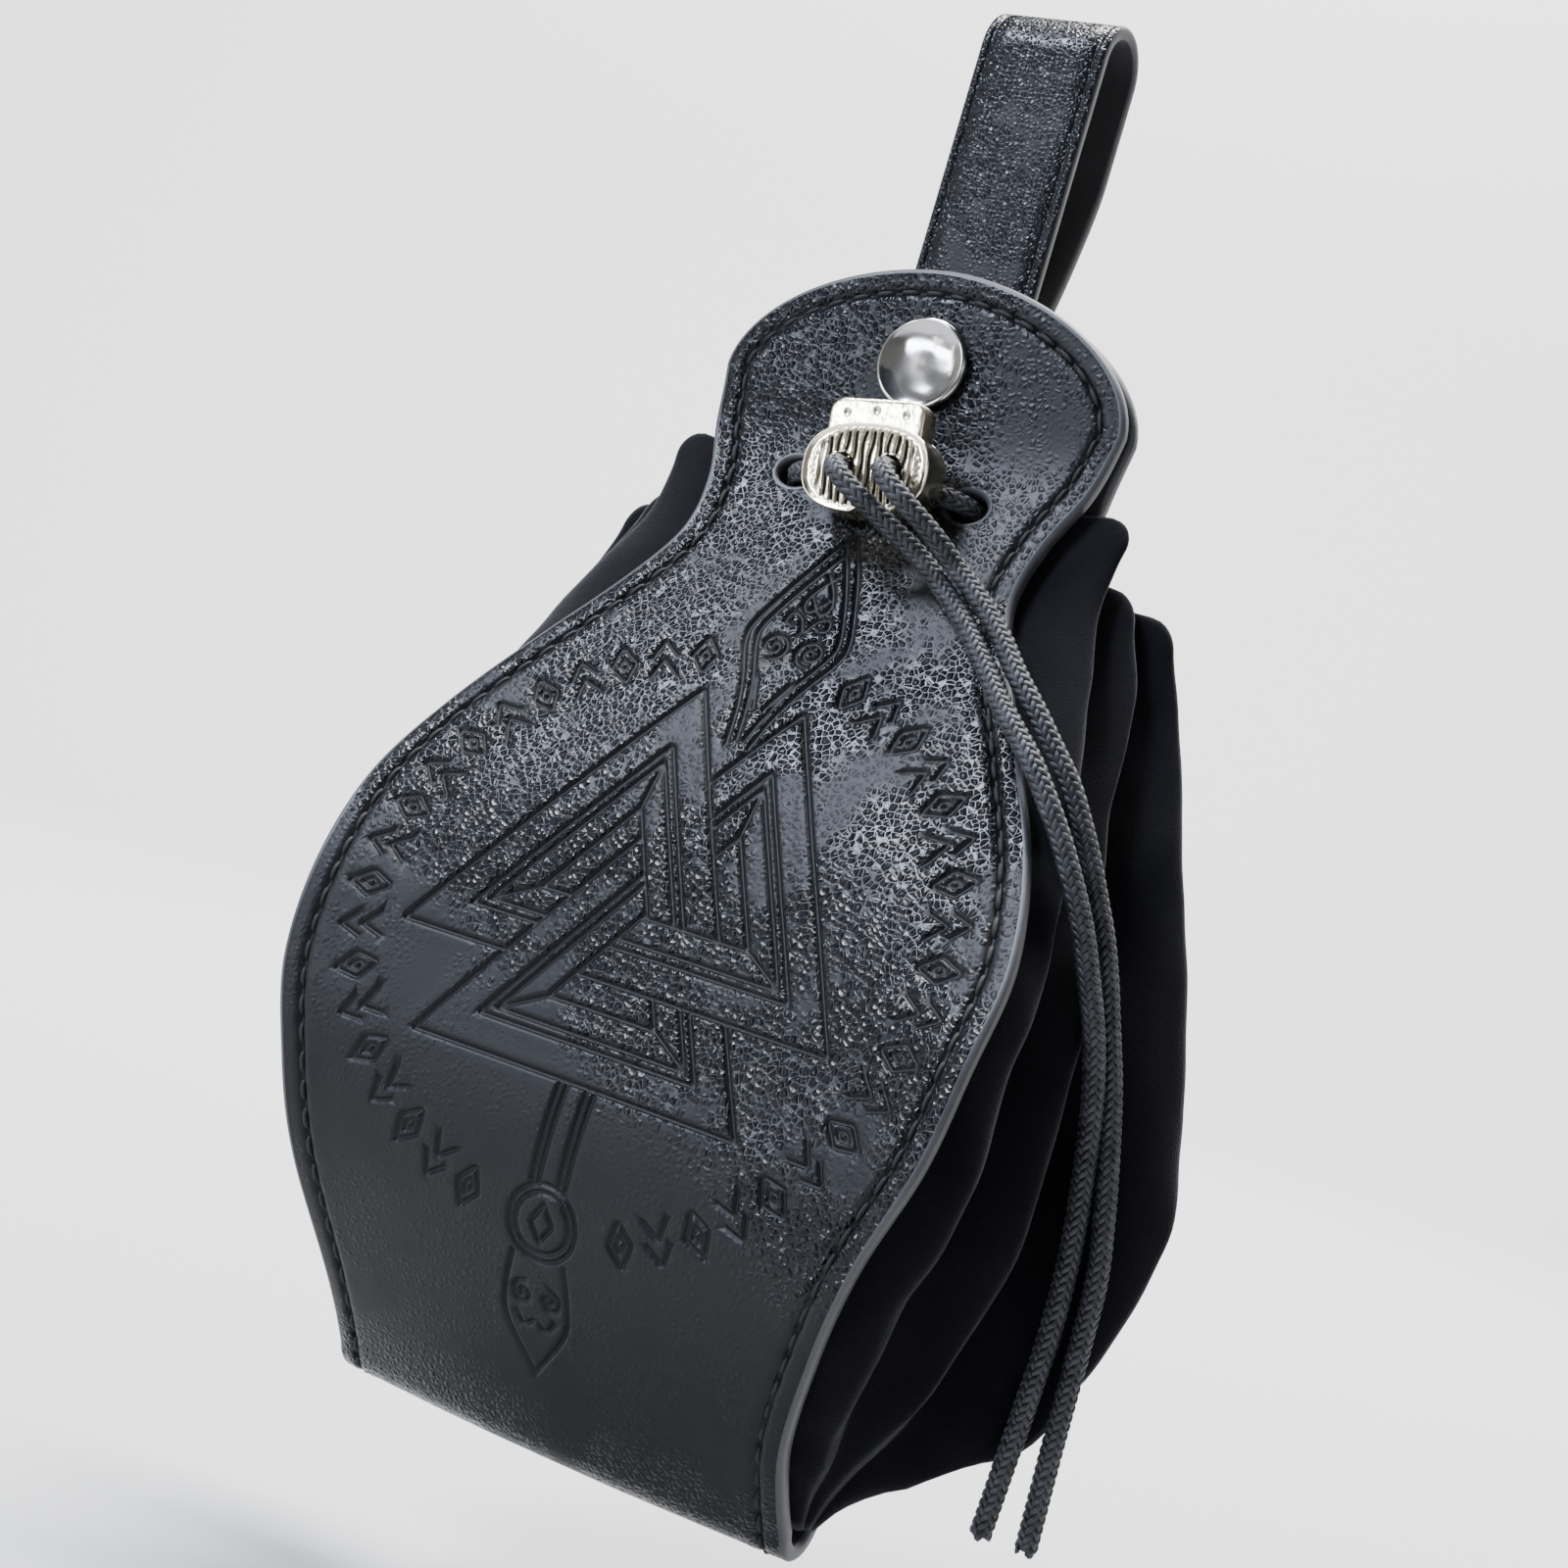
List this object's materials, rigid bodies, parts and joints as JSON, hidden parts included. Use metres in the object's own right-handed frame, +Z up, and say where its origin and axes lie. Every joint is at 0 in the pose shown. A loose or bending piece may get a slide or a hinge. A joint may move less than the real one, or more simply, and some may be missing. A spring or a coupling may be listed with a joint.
{
  "type": "medieval belt pouch",
  "caption": "Small leather pouch with a rounded press-studded head, a strip folded under the bottom, pleated velvet sides, a cord lock on a drawcord, and a belt loop.",
  "frame": {"origin": "where the belt carries the loop: the middle of the inner top of the belt loop", "axes": "+Z up as worn, +Y towards the wearer, +X to the right of who looks at the front"},
  "size_m": [0.1514, 0.0645, 0.2349],
  "materials": {
    "leather": "pebbled grain, satin",
    "velvet": "short pile",
    "strap": "matte grained",
    "nickel": "polished",
    "old_silver": "bright, slightly worn",
    "cord": "waxed braid"
  },
  "bodies": {
    "pouch": {"leather_body": "leather", "gusset_right": "velvet", "gusset_left": "velvet", "belt_loop": "strap", "stud_cap": "nickel", "stud_post": "nickel", "drawcord": "cord", "cord_end_left": "cord", "cord_end_right": "cord", "lock_body": "old_silver"},
    "button": {"lock_button": "old_silver"}
  },
  "joints": [
    {"name": "button_slide", "type": "slide", "parent": "pouch", "child": "button", "axis": [-0.1219, 0, 0.9925], "range_m": [-0.002, 0], "stiffness_N_per_m": 300, "springref_m": 0.002}
  ]
}
